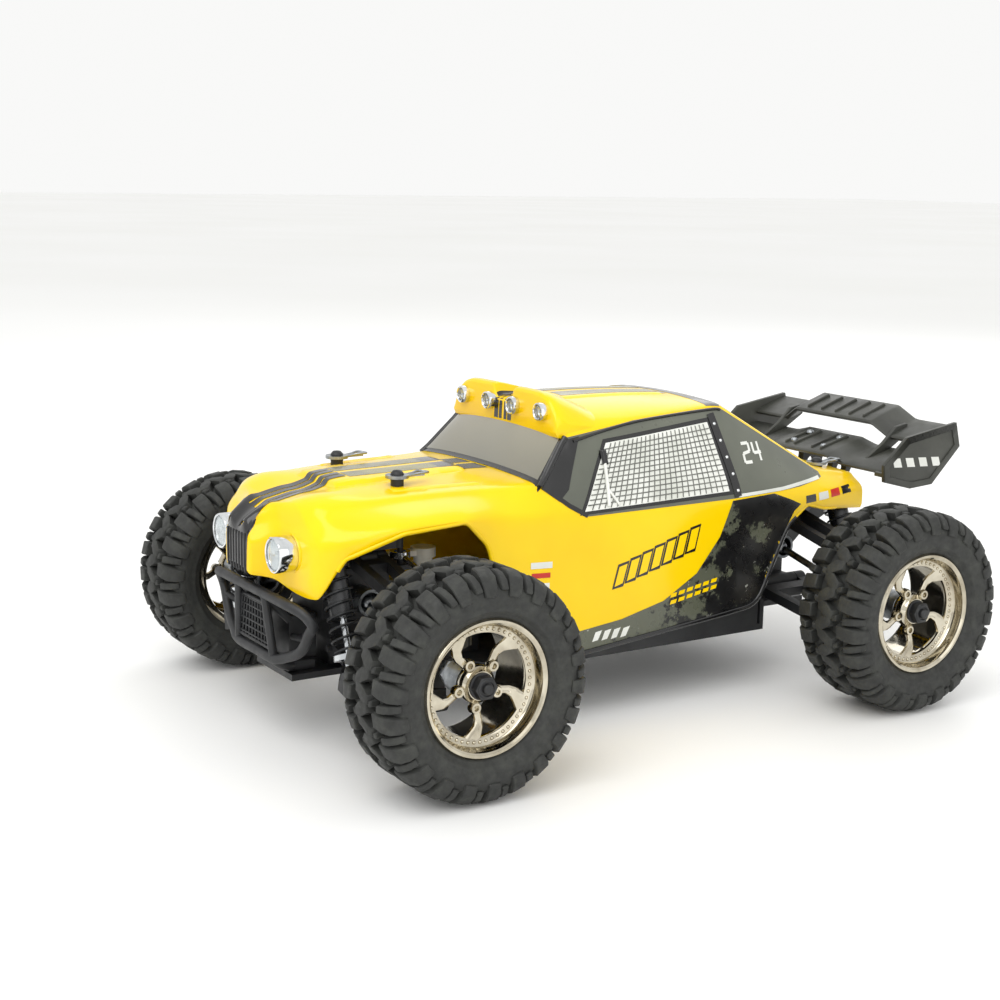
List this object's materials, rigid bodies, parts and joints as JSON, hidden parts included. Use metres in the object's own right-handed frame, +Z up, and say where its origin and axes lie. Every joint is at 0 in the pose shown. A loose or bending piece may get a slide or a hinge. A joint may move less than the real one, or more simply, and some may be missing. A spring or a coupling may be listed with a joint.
{
  "type": "radio-controlled off-road buggy",
  "caption": "Four-wheel-drive model off-road buggy with sprung arms, steering, coupled drive line, lift-off body shell and rear wing.",
  "frame": {"origin": "on the ground under the middle of the overall length and width, wheels straight and suspension at full droop", "axes": "+X forward to the nose, +Y to the vehicle's left, +Z up"},
  "size_m": [0.3908, 0.274, 0.159],
  "materials": {
    "yellow_body_shell": "thin polycarbonate shell, painted inside, high gloss",
    "black_nylon": "moulded glass-filled nylon, satin black",
    "grey_wing_plastic": "moulded nylon, dark olive grey, satin",
    "chrome_lamp": "vacuum-plated reflectors",
    "zinc_steel": "zinc-plated steel",
    "motor_can": "drawn steel can",
    "brass": "cut brass gear",
    "battery_wrap": "heat-shrink sleeve",
    "servo_case": "moulded ABS case",
    "white_nylon": "moulded nylon",
    "bright_aluminium": "polished rod",
    "black_shock_plastic": "moulded shock body",
    "black_spring_steel": "black coated spring wire",
    "champagne_chrome": "champagne-tinted vacuum plating on nylon",
    "tyre_rubber": "soft moulded rubber"
  },
  "bodies": {
    "chassis": {"chassis_tub": "black_nylon", "front_gearbox": "black_nylon", "rear_gearbox": "black_nylon", "front_shock_tower": "black_nylon", "rear_shock_tower": "black_nylon", "front_bumper": "black_nylon", "body_shell": "yellow_body_shell", "lamps": "chrome_lamp", "clips_and_screws": "zinc_steel", "rear_wing": "grey_wing_plastic", "wing_mount": "black_nylon", "motor": "motor_can", "battery_pack": "battery_wrap", "servo_and_receiver": "servo_case"},
    "motor_pinion": {"motor_pinion": "brass"},
    "center_shaft": {"center_shaft": "zinc_steel"},
    "front_diff": {"front_diff": "zinc_steel"},
    "rear_diff": {"rear_diff": "zinc_steel"},
    "servo_horn": {"servo_horn": "white_nylon"},
    "steering_rack": {"steering_rack": "black_nylon"},
    "rear_left_lower_arm": {"rear_left_lower_arm": "black_nylon"},
    "rear_left_upper_arm": {"rear_left_upper_arm": "black_nylon"},
    "rear_left_upright": {"rear_left_upright": "black_nylon"},
    "rear_left_shock_body": {"rear_left_shock_body": "black_shock_plastic", "rear_left_spring": "black_spring_steel"},
    "rear_left_shock_rod": {"rear_left_shock_rod": "bright_aluminium"},
    "rear_left_drive_shaft": {"rear_left_drive_shaft": "zinc_steel"},
    "rear_left_wheel": {"rear_left_rim": "champagne_chrome", "rear_left_tyre": "tyre_rubber"},
    "rear_right_lower_arm": {"rear_right_lower_arm": "black_nylon"},
    "rear_right_upper_arm": {"rear_right_upper_arm": "black_nylon"},
    "rear_right_upright": {"rear_right_upright": "black_nylon"},
    "rear_right_shock_body": {"rear_right_shock_body": "black_shock_plastic", "rear_right_spring": "black_spring_steel"},
    "rear_right_shock_rod": {"rear_right_shock_rod": "bright_aluminium"},
    "rear_right_drive_shaft": {"rear_right_drive_shaft": "zinc_steel"},
    "rear_right_wheel": {"rear_right_rim": "champagne_chrome", "rear_right_tyre": "tyre_rubber"},
    "front_left_lower_arm": {"front_left_lower_arm": "black_nylon"},
    "front_left_upper_arm": {"front_left_upper_arm": "black_nylon"},
    "front_left_hub_carrier": {"front_left_hub_carrier": "black_nylon"},
    "front_left_shock_body": {"front_left_shock_body": "black_shock_plastic", "front_left_spring": "black_spring_steel"},
    "front_left_shock_rod": {"front_left_shock_rod": "bright_aluminium"},
    "front_left_drive_shaft": {"front_left_drive_shaft": "zinc_steel"},
    "front_left_wheel": {"front_left_rim": "champagne_chrome", "front_left_tyre": "tyre_rubber"},
    "front_left_knuckle": {"front_left_knuckle": "black_nylon"},
    "front_left_tie_rod": {"front_left_tie_rod": "bright_aluminium"},
    "front_right_lower_arm": {"front_right_lower_arm": "black_nylon"},
    "front_right_upper_arm": {"front_right_upper_arm": "black_nylon"},
    "front_right_hub_carrier": {"front_right_hub_carrier": "black_nylon"},
    "front_right_shock_body": {"front_right_shock_body": "black_shock_plastic", "front_right_spring": "black_spring_steel"},
    "front_right_shock_rod": {"front_right_shock_rod": "bright_aluminium"},
    "front_right_drive_shaft": {"front_right_drive_shaft": "zinc_steel"},
    "front_right_wheel": {"front_right_rim": "champagne_chrome", "front_right_tyre": "tyre_rubber"},
    "front_right_knuckle": {"front_right_knuckle": "black_nylon"},
    "front_right_tie_rod": {"front_right_tie_rod": "bright_aluminium"}
  },
  "joints": [
    {"name": "rear_left_suspension", "type": "hinge", "parent": "chassis", "child": "rear_left_lower_arm", "pos_m": [-0.1075, 0.026, 0.04339], "axis": [1, 0, 0], "range_deg": [0, 14], "stiffness_Nm_per_rad": 2.5, "springref_deg": -11.46},
    {"name": "rear_left_upper_arm_hinge", "type": "hinge", "parent": "chassis", "child": "rear_left_upper_arm", "pos_m": [-0.1075, 0.026, 0.08339], "axis": [1, 0, 0], "range_deg": [0, 14]},
    {"name": "rear_left_carrier_hinge", "type": "hinge", "parent": "rear_left_lower_arm", "child": "rear_left_upright", "pos_m": [-0.1075, 0.084, 0.03], "axis": [1, 0, 0], "range_deg": [-14, 0]},
    {"name": "rear_left_wheel_spin", "type": "hinge", "parent": "rear_left_upright", "child": "rear_left_wheel", "pos_m": [-0.1075, 0.084, 0.05], "axis": [0, 1, 0], "continuous": true},
    {"name": "rear_left_shaft_spin", "type": "hinge", "parent": "rear_left_lower_arm", "child": "rear_left_drive_shaft", "pos_m": [-0.1075, 0.026, 0.06339], "axis": [0, 0.9744, -0.225], "continuous": true},
    {"name": "rear_left_shock_swing", "type": "hinge", "parent": "chassis", "child": "rear_left_shock_body", "pos_m": [-0.1325, 0.04, 0.092], "axis": [1, 0, 0], "range_deg": [0, 4.3]},
    {"name": "rear_left_shock_travel", "type": "slide", "parent": "rear_left_shock_body", "child": "rear_left_shock_rod", "axis": [0, -0.3972, 0.9177], "range_m": [0, 0.0085], "deforming": ["rear_left_spring"]},
    {"name": "rear_right_suspension", "type": "hinge", "parent": "chassis", "child": "rear_right_lower_arm", "pos_m": [-0.1075, -0.026, 0.04339], "axis": [-1, 0, 0], "range_deg": [0, 14], "stiffness_Nm_per_rad": 2.5, "springref_deg": -11.46},
    {"name": "rear_right_upper_arm_hinge", "type": "hinge", "parent": "chassis", "child": "rear_right_upper_arm", "pos_m": [-0.1075, -0.026, 0.08339], "axis": [-1, 0, 0], "range_deg": [0, 14]},
    {"name": "rear_right_carrier_hinge", "type": "hinge", "parent": "rear_right_lower_arm", "child": "rear_right_upright", "pos_m": [-0.1075, -0.084, 0.03], "axis": [-1, 0, 0], "range_deg": [-14, 0]},
    {"name": "rear_right_wheel_spin", "type": "hinge", "parent": "rear_right_upright", "child": "rear_right_wheel", "pos_m": [-0.1075, -0.084, 0.05], "axis": [0, 1, 0], "continuous": true},
    {"name": "rear_right_shaft_spin", "type": "hinge", "parent": "rear_right_lower_arm", "child": "rear_right_drive_shaft", "pos_m": [-0.1075, -0.026, 0.06339], "axis": [0, 0.9744, 0.225], "continuous": true},
    {"name": "rear_right_shock_swing", "type": "hinge", "parent": "chassis", "child": "rear_right_shock_body", "pos_m": [-0.1325, -0.04, 0.092], "axis": [-1, 0, 0], "range_deg": [0, 4.3]},
    {"name": "rear_right_shock_travel", "type": "slide", "parent": "rear_right_shock_body", "child": "rear_right_shock_rod", "axis": [0, 0.3972, 0.9177], "range_m": [0, 0.0085], "deforming": ["rear_right_spring"]},
    {"name": "front_left_suspension", "type": "hinge", "parent": "chassis", "child": "front_left_lower_arm", "pos_m": [0.1425, 0.026, 0.04339], "axis": [1, 0, 0], "range_deg": [0, 14], "stiffness_Nm_per_rad": 2.5, "springref_deg": -11.46},
    {"name": "front_left_upper_arm_hinge", "type": "hinge", "parent": "chassis", "child": "front_left_upper_arm", "pos_m": [0.1425, 0.026, 0.08339], "axis": [1, 0, 0], "range_deg": [0, 14]},
    {"name": "front_left_carrier_hinge", "type": "hinge", "parent": "front_left_lower_arm", "child": "front_left_hub_carrier", "pos_m": [0.1425, 0.084, 0.03], "axis": [1, 0, 0], "range_deg": [-14, 0]},
    {"name": "steering", "type": "hinge", "parent": "front_left_hub_carrier", "child": "front_left_knuckle", "pos_m": [0.1425, 0.084, 0.05], "axis": [0, 0, 1], "range_deg": [-25, 25]},
    {"name": "front_left_tie_rod_slide", "type": "slide", "parent": "front_left_upper_arm", "child": "front_left_tie_rod", "axis": [0, 0.9925, -0.1219], "range_m": [-0.0078, 0.0078]},
    {"name": "front_left_wheel_spin", "type": "hinge", "parent": "front_left_knuckle", "child": "front_left_wheel", "pos_m": [0.1425, 0.084, 0.05], "axis": [0, 1, 0], "continuous": true},
    {"name": "front_left_shaft_spin", "type": "hinge", "parent": "front_left_lower_arm", "child": "front_left_drive_shaft", "pos_m": [0.1425, 0.026, 0.06339], "axis": [0, 0.9744, -0.225], "continuous": true},
    {"name": "front_left_shock_swing", "type": "hinge", "parent": "chassis", "child": "front_left_shock_body", "pos_m": [0.1675, 0.04, 0.092], "axis": [1, 0, 0], "range_deg": [0, 4.3]},
    {"name": "front_left_shock_travel", "type": "slide", "parent": "front_left_shock_body", "child": "front_left_shock_rod", "axis": [0, -0.3972, 0.9177], "range_m": [0, 0.0085], "deforming": ["front_left_spring"]},
    {"name": "front_right_suspension", "type": "hinge", "parent": "chassis", "child": "front_right_lower_arm", "pos_m": [0.1425, -0.026, 0.04339], "axis": [-1, 0, 0], "range_deg": [0, 14], "stiffness_Nm_per_rad": 2.5, "springref_deg": -11.46},
    {"name": "front_right_upper_arm_hinge", "type": "hinge", "parent": "chassis", "child": "front_right_upper_arm", "pos_m": [0.1425, -0.026, 0.08339], "axis": [-1, 0, 0], "range_deg": [0, 14]},
    {"name": "front_right_carrier_hinge", "type": "hinge", "parent": "front_right_lower_arm", "child": "front_right_hub_carrier", "pos_m": [0.1425, -0.084, 0.03], "axis": [-1, 0, 0], "range_deg": [-14, 0]},
    {"name": "front_right_steer", "type": "hinge", "parent": "front_right_hub_carrier", "child": "front_right_knuckle", "pos_m": [0.1425, -0.084, 0.05], "axis": [0, 0, 1], "range_deg": [-25, 25]},
    {"name": "front_right_tie_rod_slide", "type": "slide", "parent": "front_right_upper_arm", "child": "front_right_tie_rod", "axis": [0, 0.9925, 0.1219], "range_m": [-0.0078, 0.0078]},
    {"name": "front_right_wheel_spin", "type": "hinge", "parent": "front_right_knuckle", "child": "front_right_wheel", "pos_m": [0.1425, -0.084, 0.05], "axis": [0, 1, 0], "continuous": true},
    {"name": "front_right_shaft_spin", "type": "hinge", "parent": "front_right_lower_arm", "child": "front_right_drive_shaft", "pos_m": [0.1425, -0.026, 0.06339], "axis": [0, 0.9744, 0.225], "continuous": true},
    {"name": "front_right_shock_swing", "type": "hinge", "parent": "chassis", "child": "front_right_shock_body", "pos_m": [0.1675, -0.04, 0.092], "axis": [-1, 0, 0], "range_deg": [0, 4.3]},
    {"name": "front_right_shock_travel", "type": "slide", "parent": "front_right_shock_body", "child": "front_right_shock_rod", "axis": [0, 0.3972, 0.9177], "range_m": [0, 0.0085], "deforming": ["front_right_spring"]},
    {"name": "servo_horn_turn", "type": "hinge", "parent": "chassis", "child": "servo_horn", "pos_m": [0.1065, 0.016, 0.07], "axis": [0, 0, 1], "range_deg": [-25, 25]},
    {"name": "steering_rack_slide", "type": "slide", "parent": "chassis", "child": "steering_rack", "axis": [0, 1, 0], "range_m": [-0.0078, 0.0078]},
    {"name": "front_diff_spin", "type": "hinge", "parent": "chassis", "child": "front_diff", "pos_m": [0.1425, 0, 0.06339], "axis": [0, 1, 0], "continuous": true},
    {"name": "rear_diff_spin", "type": "hinge", "parent": "chassis", "child": "rear_diff", "pos_m": [-0.1075, 0, 0.06339], "axis": [0, 1, 0], "continuous": true},
    {"name": "center_shaft_spin", "type": "hinge", "parent": "chassis", "child": "center_shaft", "pos_m": [0.0175, 0, 0.06339], "axis": [1, 0, 0], "continuous": true},
    {"name": "motor_pinion_spin", "type": "hinge", "parent": "chassis", "child": "motor_pinion", "pos_m": [0.0175, -0.01946, 0.05473], "axis": [1, 0, 0], "continuous": true}
  ],
  "couplings": [
    {"joint": "rear_left_upper_arm_hinge", "follows": "rear_left_suspension", "ratio": 1},
    {"joint": "rear_left_carrier_hinge", "follows": "rear_left_suspension", "ratio": -1},
    {"joint": "rear_left_shaft_spin", "follows": "rear_left_wheel_spin", "ratio": 1},
    {"joint": "rear_left_shock_swing", "follows": "rear_left_suspension", "ratio": 0.3027},
    {"joint": "rear_left_shock_travel", "follows": "rear_left_suspension", "m_per_rad": 0.03328},
    {"joint": "rear_right_upper_arm_hinge", "follows": "rear_right_suspension", "ratio": 1},
    {"joint": "rear_right_carrier_hinge", "follows": "rear_right_suspension", "ratio": -1},
    {"joint": "rear_right_wheel_spin", "follows": "rear_left_wheel_spin", "ratio": 1},
    {"joint": "rear_right_shaft_spin", "follows": "rear_left_wheel_spin", "ratio": 1},
    {"joint": "rear_right_shock_swing", "follows": "rear_right_suspension", "ratio": 0.3027},
    {"joint": "rear_right_shock_travel", "follows": "rear_right_suspension", "m_per_rad": 0.03328},
    {"joint": "front_left_upper_arm_hinge", "follows": "front_left_suspension", "ratio": 1},
    {"joint": "front_left_carrier_hinge", "follows": "front_left_suspension", "ratio": -1},
    {"joint": "front_left_tie_rod_slide", "follows": "steering", "m_per_rad": -0.017434},
    {"joint": "front_left_wheel_spin", "follows": "rear_left_wheel_spin", "ratio": 1},
    {"joint": "front_left_shaft_spin", "follows": "rear_left_wheel_spin", "ratio": 1},
    {"joint": "front_left_shock_swing", "follows": "front_left_suspension", "ratio": 0.3027},
    {"joint": "front_left_shock_travel", "follows": "front_left_suspension", "m_per_rad": 0.03328},
    {"joint": "front_right_upper_arm_hinge", "follows": "front_right_suspension", "ratio": 1},
    {"joint": "front_right_carrier_hinge", "follows": "front_right_suspension", "ratio": -1},
    {"joint": "front_right_steer", "follows": "steering", "ratio": 1},
    {"joint": "front_right_tie_rod_slide", "follows": "steering", "m_per_rad": -0.017434},
    {"joint": "front_right_wheel_spin", "follows": "rear_left_wheel_spin", "ratio": 1},
    {"joint": "front_right_shaft_spin", "follows": "rear_left_wheel_spin", "ratio": 1},
    {"joint": "front_right_shock_swing", "follows": "front_right_suspension", "ratio": 0.3027},
    {"joint": "front_right_shock_travel", "follows": "front_right_suspension", "m_per_rad": 0.03328},
    {"joint": "servo_horn_turn", "follows": "steering", "ratio": -1},
    {"joint": "steering_rack_slide", "follows": "steering", "m_per_rad": -0.017434},
    {"joint": "front_diff_spin", "follows": "rear_left_wheel_spin", "ratio": 1},
    {"joint": "rear_diff_spin", "follows": "rear_left_wheel_spin", "ratio": 1},
    {"joint": "center_shaft_spin", "follows": "rear_left_wheel_spin", "ratio": 2.6},
    {"joint": "motor_pinion_spin", "follows": "rear_left_wheel_spin", "ratio": -8.32}
  ]
}
